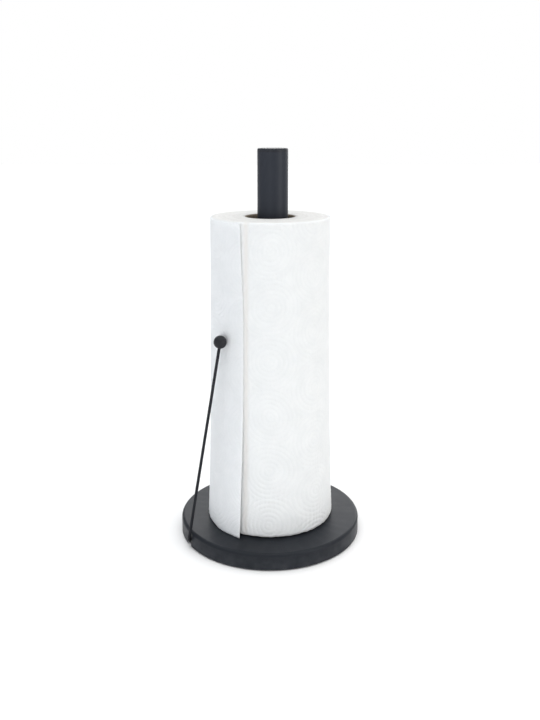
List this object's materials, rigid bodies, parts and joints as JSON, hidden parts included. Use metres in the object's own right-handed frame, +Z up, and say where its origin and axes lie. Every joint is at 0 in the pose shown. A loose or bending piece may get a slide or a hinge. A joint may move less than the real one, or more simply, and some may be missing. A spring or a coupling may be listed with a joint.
{
  "type": "paper towel holder",
  "caption": "Free-standing kitchen roll holder with a weighted round base, an upright post and a sprung wire arm with a ball tip that rests on the roll.",
  "frame": {"origin": "on the table, under the base's centre, at the level of the foot pads' undersides; the post's axis is 2.3 mm towards +X", "axes": "+Z up along the post; -Y is the front, and the arm stands at the front left, at -X and -Y"},
  "size_m": [0.155, 0.155, 0.3335],
  "materials": {
    "shell_coat": "matte",
    "ballast_steel": "matte",
    "cover_plastic": "matte",
    "screw_steel": "satin",
    "pad_rubber": "matte",
    "post_coat": "matte",
    "cap_coat": "matte",
    "insert_steel": "satin",
    "washer_zinc": "satin",
    "bracket_zinc": "satin",
    "bush_plastic": "matte",
    "spring_steel": "satin",
    "wire_coat": "matte",
    "ball_plastic": "matte",
    "collar_zinc": "satin",
    "core_board": "matte",
    "roll_tissue": "matte",
    "sheet_tissue": "matte"
  },
  "bodies": {
    "base": {"base_shell": "shell_coat", "ballast": "ballast_steel", "bottom_cover": "cover_plastic", "cover_screws": "screw_steel", "foot_pads": "pad_rubber", "post_tube": "post_coat", "post_cap": "cap_coat", "post_insert": "insert_steel", "post_screw": "screw_steel", "post_washer": "washer_zinc", "lock_washer": "washer_zinc", "pivot_bracket": "bracket_zinc", "bracket_screws": "screw_steel", "pivot_bushes": "bush_plastic", "arm_spring": "spring_steel"},
    "arm": {"arm_rod": "wire_coat", "arm_ball": "ball_plastic", "arm_collar": "collar_zinc", "axle_clip": "spring_steel"},
    "core": {"roll_core": "core_board"},
    "paper": {"paper_roll": "roll_tissue", "loose_sheet": "sheet_tissue"}
  },
  "joints": [
    {"name": "arm_swing", "type": "hinge", "parent": "base", "child": "arm", "pos_m": [-0.0682, -0.009, 0.007], "axis": [0, -1, 0], "range_deg": [0, 45], "stiffness_Nm_per_rad": 0.17, "springref_deg": -34.38, "deforming": ["arm_spring"]},
    {"name": "roll_lift", "type": "slide", "parent": "base", "child": "core", "axis": [0, 0, 1], "range_m": [0, 0.325]},
    {"name": "roll_spin", "type": "hinge", "parent": "core", "child": "paper", "pos_m": [0, 0, 0.145], "axis": [0, 0, 1], "continuous": true}
  ]
}
